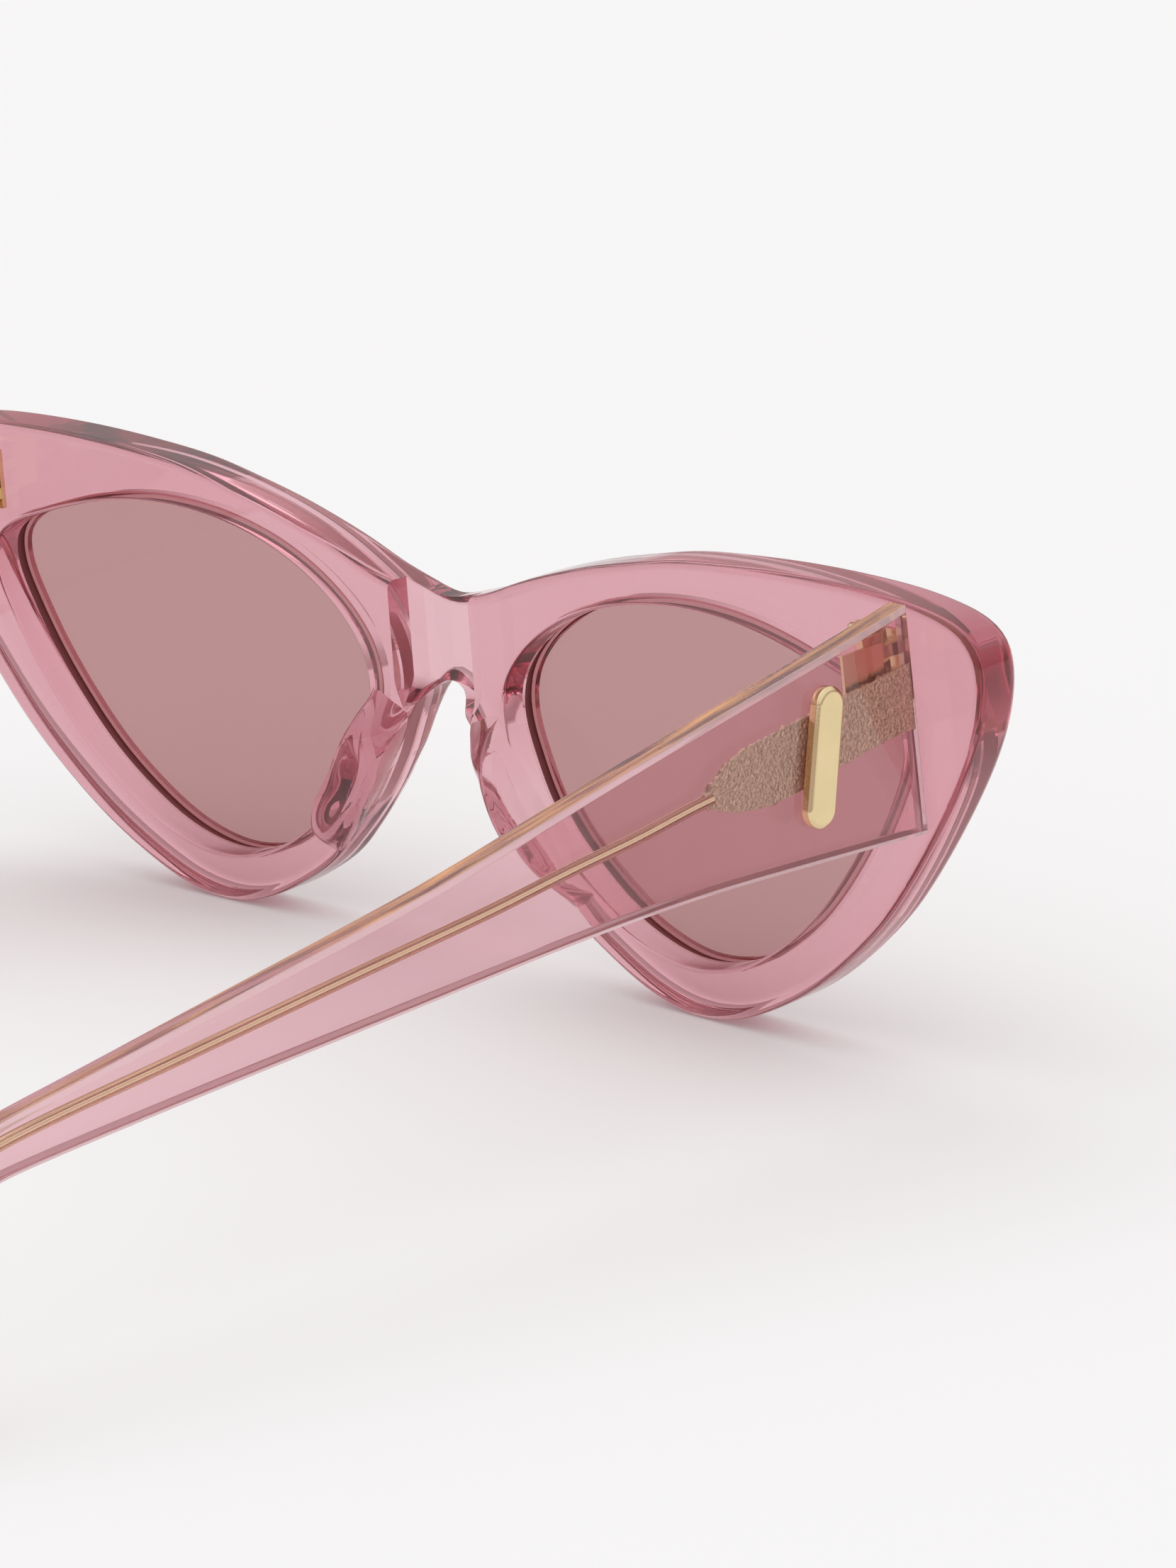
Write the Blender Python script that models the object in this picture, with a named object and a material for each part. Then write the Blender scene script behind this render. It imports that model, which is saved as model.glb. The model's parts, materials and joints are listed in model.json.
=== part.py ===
"""Cat eye sunglasses: an acetate front with two tinted lenses, and two acetate temples on barrel hinges."""

import math

import bmesh
import bpy
import numpy as np
from mathutils import Matrix, Vector

MM = 0.001

# Front, in millimetres: u runs outward from the middle, v runs up, y runs back toward the wearer.
# The outlines below are drawn shapes. They are stretched to these two sizes.
FRONT_WIDE = 142.0
FRONT_TALL = 44.3
FRONT_T = 5.4
FRONT_BEND_R = 1100.0
BACK_ROUND = 0.9
FRONT_ROUND = 1.5
STRIP = 4.0
HALF_OUTLINE = [
    (0.0, 15.0), (3.6, 15.7), (7.6, 16.9), (11.2, 18.3), (15.6, 19.8), (20.8, 21.3), (26.5, 22.6),
    (32.2, 23.7), (38.0, 24.3), (44.0, 24.7), (50.0, 24.9), (55.5, 24.9), (60.6, 24.7), (64.8, 24.2),
    (67.4, 23.6), (69.4, 22.6), (70.6, 21.1), (71.0, 19.0), (70.7, 16.3), (69.8, 13.4), (68.4, 10.4),
    (66.9, 7.8), (65.3, 5.3), (62.8, 1.7), (60.0, -2.0), (57.1, -5.4), (54.1, -8.3), (50.9, -11.0),
    (47.5, -13.5), (44.0, -15.6), (41.0, -17.1), (37.5, -18.5), (33.6, -19.3), (30.0, -19.3),
    (26.7, -18.6), (23.4, -17.3), (20.2, -15.6), (17.2, -13.7), (15.4, -12.2), (13.9, -10.6),
    (12.4, -8.9), (10.7, -6.8), (9.0, -4.6), (7.6, -2.5), (6.3, -0.6), (5.3, 1.2), (4.4, 2.8),
    (3.5, 4.2), (2.5, 5.5), (1.3, 6.5), (0.0, 6.9),
]
OPENING = [
    (9.0, 5.4), (9.5, 8.4), (11.6, 11.5), (15.2, 14.4), (19.9, 16.8), (25.6, 18.5), (32.5, 19.4),
    (40.0, 19.2), (47.0, 17.9), (53.0, 16.1), (56.8, 14.6), (58.9, 12.7), (59.2, 10.4), (57.9, 6.8),
    (55.3, 2.2), (52.1, -2.2), (47.9, -6.8), (43.0, -10.6), (38.2, -13.2), (34.0, -14.4),
    (29.9, -14.6), (25.9, -13.7), (22.0, -12.0), (18.2, -9.5), (14.8, -6.6), (12.0, -3.2), (10.1, 1.0),
]
BRIDGE_CUT = 2.3
BRIDGE_CUT_HALF = 4.8
BRIDGE_CUT_SLOPE = 0.2

# Lens and the groove that holds it.
LENS_T = 1.6
LENS_BACK = 2.9
LENS_BITE = 0.5
GAP = 0.3
OPENING_EASE = 0.5
GROOVE_LEAD_BACK = 0.25
GROOVE_LEAD_FRONT = 0.1

# Bonded nose pads. The nose side of each slopes out by PAD_SPLAY of its height, and the lens side is upright.
PAD_PATH = [(6.9, 4.2), (7.8, 1.5), (9.8, -2.2), (12.2, -5.6), (15.0, -8.7), (17.2, -10.6)]
PAD_HALF = 1.7
PAD_H = 4.1
PAD_SPLAY = 0.5
PAD_RISE = 0.13

# Hinge: the axis stands behind the end piece and leans in at the top.
TILT = 3.35
AXIS_INSET = 12.1
AXIS_DROP = 5.5
AXIS_OFF = 2.0
AXIS_LEAN = 6.0
BODY_LEAN = 3.0
KNUCKLES = 5
KNUCKLE_H = 1.1
KNUCKLE_GAP = 0.25
KNUCKLE_R = 1.25
KNUCKLE_SUNK = 0.5
SCREW_R = 0.6
RUNNING = 0.06
SCREW_HEAD_R = 1.05
SCREW_HEAD_T = 0.5
SCREW_SLOT = 0.32
LEAF_T = 1.0
LEAF_HALF_V = 2.9
LEAF_IN = 1.4
LEAF_OUT = 2.6
FOOT_T = 0.5
FOOT_HALF_V = 2.6
FOOT_START = 1.0
FOOT_LONG = 5.0

# Temple: thickness, reach behind the front, and its outline as (y, v) pairs on the front's axes.
# Each line starts or ends at the butt, whose y comes from the front.
TEMPLE_LONG = 136.2
TEMPLE_T = 3.0
TEMPLE_IN = 1.6
TEMPLE_EDGE = 0.6
TEMPLE_TOP = [
    (2.0, 24.5), (9.5, 23.2), (15.8, 22.2), (24.8, 20.8), (33.6, 19.4), (50.8, 16.5), (59.2, 15.1),
    (67.5, 14.0), (83.5, 12.1), (103.0, 9.8), (110.5, 8.8), (116.3, 7.2), (121.3, 4.3), (126.2, 0.3),
    (131.3, -4.2), (135.0, -7.5),
]
TEMPLE_TIP = [(136.8, -9.4), (136.5, -10.94), (134.8, -11.64), (132.4, -11.17)]
TEMPLE_BOTTOM = [
    (129.2, -9.0), (125.2, -5.3), (121.4, -1.8), (117.6, 1.4), (113.0, 3.7), (106.1, 4.6), (97.0, 4.9),
    (79.0, 5.3), (63.0, 5.6), (46.5, 5.9), (38.0, 5.9), (29.5, 5.7), (20.8, 5.2), (12.0, 4.6), (2.0, 3.9),
]

# Core wire: a lance-shaped plate at the butt, then a round rod down into the tip.
WIRE_R = 0.6
PLATE_T = 0.7
PLATE_SKIN = 1.25
PLATE_TOP = [(2.0, 19.4), (12.9, 18.2), (20.3, 17.4), (23.8, 16.9), (25.9, 16.1), (27.6, 15.0)]
PLATE_BOTTOM = [
    (27.9, 12.8), (26.0, 12.2), (23.7, 11.7), (21.1, 11.5), (15.8, 11.9), (8.0, 13.1), (2.0, 13.5),
]
ROD_PATH = [
    (26.5, 13.9), (28.9, 13.7), (36.1, 12.9), (44.7, 12.2), (53.1, 11.4), (61.4, 10.8), (77.5, 9.7),
    (93.2, 8.6), (107.0, 7.6), (112.6, 6.7), (117.1, 4.8), (121.4, 1.8), (125.6, -1.8), (129.4, -5.3),
]

# Plain raised bar on the outside of each temple.
BAR_LINE = [(16.2, 10.0), (13.9, 18.6)]
BAR_HALF = 1.7
BAR_T = 0.9
BAR_EDGE = 0.3
PEG_R = 0.35
PEG_OUT = 0.8
PEG_DEEP = 0.5


for old in list(bpy.data.objects):
    bpy.data.objects.remove(old, do_unlink=True)
pieces = bpy.data.collections.new("cat_eye_sunglasses")
cutters = bpy.data.collections.new("cutters")
bpy.context.scene.collection.children.link(pieces)
bpy.context.scene.collection.children.link(cutters)


def material(name, colour, rough, metal=0.0, through=0.0):
    made = bpy.data.materials.new(name)
    made.use_nodes = True
    shader = made.node_tree.nodes["Principled BSDF"]
    shader.inputs["Base Color"].default_value = (*colour, 1.0)
    shader.inputs["Roughness"].default_value = rough
    shader.inputs["Metallic"].default_value = metal
    shader.inputs["Transmission Weight"].default_value = through
    return made


ACETATE = (0.66, 0.31, 0.35)
GOLD = (0.80, 0.62, 0.32)
front_scale = (
    FRONT_WIDE / (2 * max(u for u, v in HALF_OUTLINE)),
    FRONT_TALL / (max(v for u, v in HALF_OUTLINE) - min(v for u, v in HALF_OUTLINE)),
)
temple_scale = (TEMPLE_LONG / max(y for y, v in TEMPLE_TIP), front_scale[1])


def stretched(points, scale):
    return [(a * scale[0], b * scale[1]) for a, b in points]


def empty(name, parent, matrix):
    made = bpy.data.objects.new(name, None)
    made.empty_display_size = 0.01
    pieces.objects.link(made)
    made.parent = parent
    made.matrix_local = matrix
    return made


def add_object(name, bm, owner=None, frame=None, look=None):
    """Turns a bmesh in millimetres into an object. The owner is the empty that carries it."""
    bmesh.ops.remove_doubles(bm, verts=bm.verts, dist=1e-5)
    bmesh.ops.recalc_face_normals(bm, faces=bm.faces)
    bm.transform(Matrix.Scale(MM, 4))
    if frame is not None:
        bm.transform(frame.inverted())
    mesh = bpy.data.meshes.new(name)
    bm.to_mesh(mesh)
    bm.free()
    made = bpy.data.objects.new(name, mesh)
    made.parent = owner
    if look is None:
        cutters.objects.link(made)
        made.hide_render = True
        made.display_type = "WIRE"
    else:
        pieces.objects.link(made)
        mesh.materials.append(look)
    return made


def boolean(obj, other, operation):
    step = obj.modifiers.new(operation.lower() + "_" + other.name, "BOOLEAN")
    step.operation = operation
    step.object = other
    step.solver = "EXACT"


def smooth_curve(points, count, closed):
    """Cubic spline through the points by chord length, sampled evenly along its arc."""
    p = np.array(points, float)
    if closed:
        p = np.vstack([p, p[:1]])
    n = len(p) - 1
    h = np.linalg.norm(np.diff(p, axis=0), axis=1)
    t = np.concatenate([[0.0], np.cumsum(h)])
    a = np.zeros((n + 1, n + 1))
    b = np.zeros((n + 1, p.shape[1]))
    slope = np.diff(p, axis=0) / h[:, None]
    for i in range(1, n):
        a[i, i - 1 : i + 2] = (h[i - 1], 2 * (h[i - 1] + h[i]), h[i])
        b[i] = 6 * (slope[i] - slope[i - 1])
    if closed:
        a[0, 0], a[0, n] = 1.0, -1.0
        a[n, 0], a[n, 1] = 2 * h[0], h[0]
        a[n, n - 1], a[n, n] = h[-1], 2 * h[-1]
        b[n] = 6 * (slope[0] - slope[-1])
    else:
        a[0, 0] = a[n, n] = 1.0
    m = np.linalg.solve(a, b)

    def at(s):
        i = min(max(int(np.searchsorted(t, s, side="right")) - 1, 0), n - 1)
        x, y = t[i + 1] - s, s - t[i]
        return (
            m[i] * x**3 / (6 * h[i])
            + m[i + 1] * y**3 / (6 * h[i])
            + (p[i] / h[i] - m[i] * h[i] / 6) * x
            + (p[i + 1] / h[i] - m[i + 1] * h[i] / 6) * y
        )

    fine = np.array([at(s) for s in np.linspace(0, t[-1], 20 * n + 1)])
    run = np.concatenate([[0.0], np.cumsum(np.linalg.norm(np.diff(fine, axis=0), axis=1))])
    stops = np.linspace(0, run[-1], count + 1 if closed else count)
    out = np.stack([np.interp(stops, run, fine[:, k]) for k in range(p.shape[1])], axis=1)
    return out[:-1] if closed else out


def offset_loop(loop, distance):
    """Moves a closed loop outward by this distance, with mitred corners."""
    edge = np.roll(loop, -1, axis=0) - loop
    edge /= np.linalg.norm(edge, axis=1)[:, None]
    normal = np.stack([edge[:, 1], -edge[:, 0]], axis=1)
    before = np.roll(normal, 1, axis=0)
    mitre = (normal + before) / (1 + np.sum(normal * before, axis=1))[:, None]
    area = np.sum(loop[:, 0] * np.roll(loop[:, 1], -1) - np.roll(loop[:, 0], -1) * loop[:, 1])
    return loop + mitre * distance * (1.0 if area > 0 else -1.0)


def bent(bm):
    for vert in bm.verts:
        vert.co.y += vert.co.x**2 / (2 * FRONT_BEND_R)


def slab(loop, y_back, y_front, back_round, front_round, segments, strips=True):
    """An upright plate with this outline, eased at both faces and cut into strips so that it can bend."""
    bm = bmesh.new()
    back = [bm.verts.new((x, y_back, z)) for x, z in loop]
    front = [bm.verts.new((x, y_front, z)) for x, z in loop]
    bm.faces.new(back)
    bm.faces.new(front[::-1])
    for i in range(len(loop)):
        j = (i + 1) % len(loop)
        bm.faces.new((back[j], back[i], front[i], front[j]))
    bmesh.ops.recalc_face_normals(bm, faces=bm.faces)
    for y, amount in ((y_back, back_round), (y_front, front_round)):
        if amount:
            edges = [e for e in bm.edges if all(abs(v.co.y - y) < 1e-4 for v in e.verts)]
            bmesh.ops.bevel(bm, geom=edges, offset=amount, segments=segments, profile=0.5, affect="EDGES")
    if strips:
        low, high = loop[:, 0].min(), loop[:, 0].max()
        for x in np.arange(math.ceil(low / STRIP) * STRIP, high, STRIP):
            geom = bm.verts[:] + bm.edges[:] + bm.faces[:]
            bmesh.ops.bisect_plane(bm, geom=geom, plane_co=(x, 0, 0), plane_no=(1, 0, 0), dist=1e-4)
    return bm


def loft(rings, closed_ends=True):
    """A closed skin over rings of equal count."""
    bm = bmesh.new()
    made = [[bm.verts.new(tuple(p)) for p in ring] for ring in rings]
    count = len(rings[0])
    for a, b in zip(made, made[1:]):
        for i in range(count):
            j = (i + 1) % count
            bm.faces.new((a[i], a[j], b[j], b[i]))
    if closed_ends:
        bm.faces.new(made[0][::-1])
        bm.faces.new(made[-1])
    return bm


def box(low, high):
    bm = bmesh.new()
    bmesh.ops.create_cube(bm, size=1.0)
    for vert in bm.verts:
        for k in range(3):
            vert.co[k] = low[k] if vert.co[k] < 0 else high[k]
    return bm


def prism(profile, low, high):
    """A profile in the x-y plane carried from z low to z high."""
    return loft([[(x, y, low) for x, y in profile], [(x, y, high) for x, y in profile]])


def turned(profile, count):
    """A solid of revolution about z from (radius, z) pairs that start and end off the axis."""
    angles = [2 * math.pi * k / count for k in range(count)]
    return loft([[(r * math.cos(a), r * math.sin(a), z) for a in angles] for r, z in profile])


def merge(bm, other, matrix=None):
    if matrix is not None:
        other.transform(matrix)
    mesh = bpy.data.meshes.new("part")
    other.to_mesh(mesh)
    other.free()
    bm.from_mesh(mesh)
    bpy.data.meshes.remove(mesh)
    return bm


def shell(name, side, rough=0.08):
    return material(name + side, ACETATE, rough, 0.0, 0.8)


root = empty("front_body", None, Matrix.Identity(4))

# Front: one plate with the whole outline, bent to a slow curve.
half = stretched(HALF_OUTLINE, front_scale)
outline = smooth_curve(half + [(-u, v) for u, v in half[-2:0:-1]], 216, True)
plate = slab(outline, 0.0, -FRONT_T, BACK_ROUND, FRONT_ROUND, 3)
bent(plate)
front = add_object("front_frame", plate, root, look=shell("acetate", "_front"))
opening = smooth_curve(stretched(OPENING, front_scale), 84, True)
groove_back = LENS_BACK - GAP
groove_front = LENS_BACK + LENS_T + GAP
depth = LENS_BITE + GAP
levels = [
    (FRONT_T, OPENING_EASE + FRONT_T),
    (0.0, OPENING_EASE),
    (-OPENING_EASE, 0.0),
    (-groove_back + GROOVE_LEAD_BACK, 0.0),
    (-groove_back, depth),
    (-groove_front, depth),
    (-groove_front - GROOVE_LEAD_FRONT, 0.0),
    (-FRONT_T + GAP, 0.0),
    (-FRONT_T, GAP),
    (-FRONT_T - GAP, 2 * GAP),
]
for side, sx in (("right", -1.0), ("left", 1.0)):
    cutter = loft([[(sx * u, y, v) for u, v in offset_loop(opening, grow)] for y, grow in levels])
    bent(cutter)
    boolean(front, add_object("lens_opening_" + side, cutter, root), "DIFFERENCE")
    rim = offset_loop(opening, LENS_BITE) * (sx, 1.0)
    lens = slab(rim, -LENS_BACK, -LENS_BACK - LENS_T, 0.0, 0.0, 1)
    bent(lens)
    tint = material("lens_tint_" + side, (0.50, 0.34, 0.33), 0.03, 0.0, 0.7)
    add_object("lens_" + side, lens, root, look=tint)
near = BRIDGE_CUT_HALF
far = BRIDGE_CUT_HALF + BRIDGE_CUT_SLOPE * (BRIDGE_CUT + FRONT_T) / BRIDGE_CUT
recess = [(-near, -BRIDGE_CUT), (near, -BRIDGE_CUT), (far, FRONT_T), (-far, FRONT_T)]
recess = prism(recess, 0.0, FRONT_TALL / 2)
boolean(front, add_object("bridge_recess", recess, root), "DIFFERENCE")

# Nose pads: each a tapering ridge bonded behind the nasal side of its rim.
path = smooth_curve(stretched(PAD_PATH, front_scale), 25, False)
heading = np.gradient(path, axis=0)
heading /= np.linalg.norm(heading, axis=1)[:, None]
across = np.stack([-heading[:, 1], heading[:, 0]], axis=1)
for side, sx in (("right", -1.0), ("left", 1.0)):
    rings = []
    for k, (point, cross) in enumerate(zip(path, across)):
        s = k / (len(path) - 1)
        swell = max(0.12, min(1.0, s / PAD_RISE) ** 0.7 * (1 - s**4) ** 0.7)
        ring = []
        for angle in np.linspace(0.0, math.pi, 11):
            over = math.copysign(abs(math.cos(angle)) ** 0.7, math.cos(angle))
            high = PAD_H * swell * math.sin(angle) ** 0.7
            u, v = point + cross * (PAD_HALF * swell**0.3 * over + PAD_SPLAY * high * (1 - over) / 2)
            ring.append((sx * u, u**2 / (2 * FRONT_BEND_R) + GAP + high, v))
        rings.append(ring)
    add_object("nose_pad_" + side, loft(rings), root, look=shell("acetate_pad_", side, 0.1))

# Sizes shared by both hinges and temples.
axis_u = FRONT_WIDE / 2 - AXIS_INSET
axis_v = TEMPLE_TOP[0][1] * temple_scale[1] - AXIS_DROP
wrap = math.asin(axis_u / FRONT_BEND_R)
pitch = KNUCKLE_H + KNUCKLE_GAP
stack = KNUCKLES * KNUCKLE_H + (KNUCKLES - 1) * KNUCKLE_GAP
knuckle_low = [-stack / 2 + pitch * k for k in range(KNUCKLES)]
base_y = axis_u**2 / (2 * FRONT_BEND_R)
at_y = base_y + AXIS_OFF * math.cos(wrap)
face = TEMPLE_IN + TEMPLE_T
plate_x = face - PLATE_SKIN
butt_y = (axis_u + TEMPLE_IN) ** 2 / (2 * FRONT_BEND_R) + GAP - at_y
bore_profile = [(SCREW_R + RUNNING, -stack), (SCREW_R + RUNNING, stack)]


def temple_line(points):
    """Temple points measured from the hinge axis."""
    return np.array(stretched(points, temple_scale)) - (at_y, axis_v)


def knuckle_arc(first, last):
    angles = [math.radians(a) for a in range(first, last, 20)]
    return [(KNUCKLE_R * math.cos(a), KNUCKLE_R * math.sin(a)) for a in angles]


top_line = temple_line(TEMPLE_TOP + TEMPLE_TIP[:1])
bottom_line = temple_line(TEMPLE_TIP[-1:] + TEMPLE_BOTTOM)
top_line[0, 0] = bottom_line[-1, 0] = butt_y
tip_line = smooth_curve(temple_line(TEMPLE_TIP), 9, False)[1:-1]
side_shape = np.vstack([smooth_curve(top_line, 36, False), tip_line, smooth_curve(bottom_line, 36, False)])

plate_shape = temple_line(PLATE_TOP + PLATE_BOTTOM)
plate_shape[0, 0] = plate_shape[-1, 0] = butt_y + math.tan(wrap) * (plate_x - TEMPLE_IN) + GAP
channel_shape = offset_loop(plate_shape, GAP)
channel_shape[0, 0] = channel_shape[-1, 0] = butt_y - TEMPLE_T
rod_line = smooth_curve(temple_line(ROD_PATH), 24, False)
rod_heading = np.gradient(rod_line, axis=0)
rod_heading /= np.linalg.norm(rod_heading, axis=1)[:, None]


def rod(radius, over):
    """Round wire along the rod line, with its far end run on by this much."""
    rings = []
    for k, ((y, z), (hy, hz)) in enumerate(zip(rod_line, rod_heading)):
        more = over if k == len(rod_line) - 1 else 0.0
        ring = []
        for step in range(12):
            angle = 2 * math.pi * step / 12
            off = radius * math.sin(angle)
            x = plate_x + radius * math.cos(angle)
            ring.append((x, y + hy * more - hz * off, z + hz * more + hy * off))
        rings.append(ring)
    return loft(rings)


low_end, high_end = temple_line(BAR_LINE)
bar_along = (high_end - low_end) / np.linalg.norm(high_end - low_end)
bar_turn = math.atan2(bar_along[1], bar_along[0])
bar_shape = []
for centre, first in ((high_end, bar_turn - math.pi / 2), (low_end, bar_turn + math.pi / 2)):
    for k in range(9):
        angle = first + math.pi * k / 8
        bar_shape.append((centre[0] + BAR_HALF * math.cos(angle), centre[1] + BAR_HALF * math.sin(angle)))
peg_spots = (low_end - bar_along * PEG_OUT, high_end + bar_along * PEG_OUT)

# Hinge and temple of each side.
for side, sx in (("right", -1.0), ("left", 1.0)):
    gold = material("gold_" + side, GOLD, 0.22, 1.0)
    # The hinge frame: x runs outward along the front, y runs back off it and z runs up the axis.
    at = Vector((sx * (axis_u - AXIS_OFF * math.sin(wrap)), at_y, axis_v))
    lean = Matrix.Rotation(math.radians(-sx * AXIS_LEAN), 4, "Y")
    turn = Matrix.Rotation(sx * wrap, 4, "Z")
    flip = Matrix.Diagonal((sx, 1.0, 1.0, 1.0))
    hinge = Matrix.Translation(at) @ lean @ turn @ flip
    upright = Matrix.Translation(at) @ turn @ flip
    straight = Matrix.Translation(at) @ lean @ flip
    body = Matrix.Translation(at) @ Matrix.Rotation(math.radians(-sx * BODY_LEAN), 4, "Y") @ flip
    axis = Matrix.Translation(at * MM) @ lean
    carrier = empty("temple_hinge_" + side, root, axis)

    # Front leaf: a plate let into the back of the front, with the even knuckles.
    leaf = box((-LEAF_IN, -AXIS_OFF - LEAF_T, -LEAF_HALF_V), (LEAF_OUT, -AXIS_OFF, LEAF_HALF_V))
    leaf = add_object("hinge_leaf_" + side, merge(bmesh.new(), leaf, upright), root, look=gold)
    sunk = -AXIS_OFF - KNUCKLE_SUNK
    profile = knuckle_arc(0, 181) + [(-KNUCKLE_R, sunk), (KNUCKLE_R, sunk)]
    bars = bmesh.new()
    for z in knuckle_low[1::2]:
        merge(bars, prism(profile, z, z + KNUCKLE_H), hinge)
    boolean(leaf, add_object("front_knuckles_" + side, bars, root), "UNION")
    bore = merge(bmesh.new(), turned(bore_profile, 24), hinge)
    boolean(leaf, add_object("hinge_bore_" + side, bore, root), "DIFFERENCE")
    pocket = box(
        (-LEAF_IN - GAP, -AXIS_OFF - LEAF_T - GAP, -LEAF_HALF_V - GAP),
        (LEAF_OUT + GAP, LEAF_T, LEAF_HALF_V + GAP),
    )
    pocket = merge(bmesh.new(), pocket, upright)
    boolean(front, add_object("leaf_pocket_" + side, pocket, root), "DIFFERENCE")

    # Screw: slotted head on top, shank through all the knuckles.
    top = stack / 2 + KNUCKLE_GAP / 2
    screw = [
        (SCREW_R - 0.25, -top - 0.2), (SCREW_R, -top), (SCREW_R, top), (SCREW_HEAD_R, top),
        (SCREW_HEAD_R, top + SCREW_HEAD_T - 0.2), (SCREW_HEAD_R - 0.25, top + SCREW_HEAD_T),
    ]
    screw = merge(bmesh.new(), turned(screw, 24), hinge)
    screw_gold = material("gold_screw_" + side, GOLD, 0.25, 1.0)
    screw = add_object("hinge_screw_" + side, screw, root, look=screw_gold)
    reach = 2 * SCREW_HEAD_R
    slot = box((-reach, -SCREW_SLOT / 2, top + SCREW_HEAD_T / 2), (reach, SCREW_SLOT / 2, top + reach))
    slot = merge(bmesh.new(), slot, hinge)
    boolean(screw, add_object("screw_slot_" + side, slot, root), "DIFFERENCE")

    # Temple: the outline on the y-z plane, then its thickness outward, leaning in at the top.
    temple = loft([[(x, y, z) for y, z in side_shape] for x in (TEMPLE_IN, face)])
    bmesh.ops.recalc_face_normals(temple, faces=temple.faces)
    edges = [e for e in temple.edges if abs(e.verts[0].co.x - e.verts[1].co.x) < 1e-6]
    bmesh.ops.bevel(temple, geom=edges, offset=TEMPLE_EDGE, segments=2, profile=0.5, affect="EDGES")
    for vert in temple.verts:
        if vert.co.y < butt_y + TEMPLE_T / 2:
            vert.co.y += math.tan(wrap) * (vert.co.x - TEMPLE_IN)
    temple = merge(bmesh.new(), temple, body)
    temple = add_object("temple_" + side, temple, carrier, axis, shell("acetate_temple_", side))

    # Core wire inside the temple, and the channel that it runs in.
    def wire_plate(shape, thick):
        return loft([[(plate_x + x, y, z) for y, z in shape] for x in (thick / 2, -thick / 2)])

    flat = merge(bmesh.new(), wire_plate(plate_shape, PLATE_T), body)
    wire = add_object("core_wire_" + side, flat, carrier, axis, material("gold_wire_" + side, GOLD, 0.4, 1.0))
    round_wire = merge(bmesh.new(), rod(WIRE_R, 0.0), body)
    boolean(wire, add_object("wire_rod_" + side, round_wire, carrier, axis), "UNION")
    flat = merge(bmesh.new(), wire_plate(channel_shape, PLATE_T + 2 * GAP), body)
    boolean(temple, add_object("plate_channel_" + side, flat, carrier, axis), "DIFFERENCE")
    round_channel = merge(bmesh.new(), rod(WIRE_R + GAP, GAP), body)
    boolean(temple, add_object("rod_channel_" + side, round_channel, carrier, axis), "DIFFERENCE")

    # Temple leaf: a foot let into the inner face, with the odd knuckles.
    foot = (TEMPLE_IN + FOOT_T, FOOT_START + FOOT_LONG, FOOT_HALF_V)
    foot = box((TEMPLE_IN, FOOT_START, -FOOT_HALF_V), foot)
    foot = merge(bmesh.new(), foot, body)
    foot_gold = material("gold_leaf_" + side, GOLD, 0.22, 1.0)
    foot = add_object("temple_leaf_" + side, foot, carrier, axis, foot_gold)
    arm_x = TEMPLE_IN + FOOT_T * 0.8
    arm_y = FOOT_START + 2 * KNUCKLE_H
    profile = knuckle_arc(100, 341)
    profile += [(arm_x, KNUCKLE_R), (arm_x, arm_y), (TEMPLE_IN - FOOT_T, arm_y)]
    bars = bmesh.new()
    for z in knuckle_low[0::2]:
        merge(bars, prism(profile, z, z + KNUCKLE_H), straight)
    boolean(foot, add_object("temple_knuckles_" + side, bars, carrier, axis), "UNION")
    bore = merge(bmesh.new(), turned(bore_profile, 24), hinge)
    boolean(foot, add_object("leaf_bore_" + side, bore, carrier, axis), "DIFFERENCE")
    pocket = box(
        (TEMPLE_IN - FOOT_START, FOOT_START - KNUCKLE_R, -stack / 2 - GAP),
        (TEMPLE_IN + FOOT_T + GAP, FOOT_START + FOOT_LONG + GAP, stack / 2 + GAP),
    )
    pocket = merge(bmesh.new(), pocket, body)
    boolean(temple, add_object("foot_pocket_" + side, pocket, carrier, axis), "DIFFERENCE")

    # Raised bar on the outside, on two short pegs.
    bar_top = face + GAP + BAR_T
    bar = loft([[(x, y, z) for y, z in bar_shape] for x in (face + GAP, bar_top)])
    bmesh.ops.recalc_face_normals(bar, faces=bar.faces)
    edges = [e for e in bar.edges if all(v.co.x > bar_top - 1e-4 for v in e.verts)]
    bmesh.ops.bevel(bar, geom=edges, offset=BAR_EDGE, segments=2, profile=0.5, affect="EDGES")
    bar = merge(bmesh.new(), bar, body)
    bar = add_object("temple_bar_" + side, bar, carrier, axis, material("gold_bar_" + side, GOLD, 0.15, 1.0))
    pegs = bmesh.new()
    holes = bmesh.new()
    lie = Matrix.Rotation(math.pi / 2, 4, "Y")
    peg = [(PEG_R, face - PEG_DEEP), (PEG_R, face + GAP + BAR_T / 2)]
    hole = [(PEG_R + GAP, face - PEG_DEEP - GAP / 2), (PEG_R + GAP, face + BAR_T)]
    for y, z in peg_spots:
        spot = body @ Matrix.Translation((0.0, y, z)) @ lie
        merge(pegs, turned(peg, 12), spot)
        merge(holes, turned(hole, 12), spot)
    boolean(bar, add_object("bar_pegs_" + side, pegs, carrier, axis), "UNION")
    boolean(temple, add_object("bar_holes_" + side, holes, carrier, axis), "DIFFERENCE")

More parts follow.
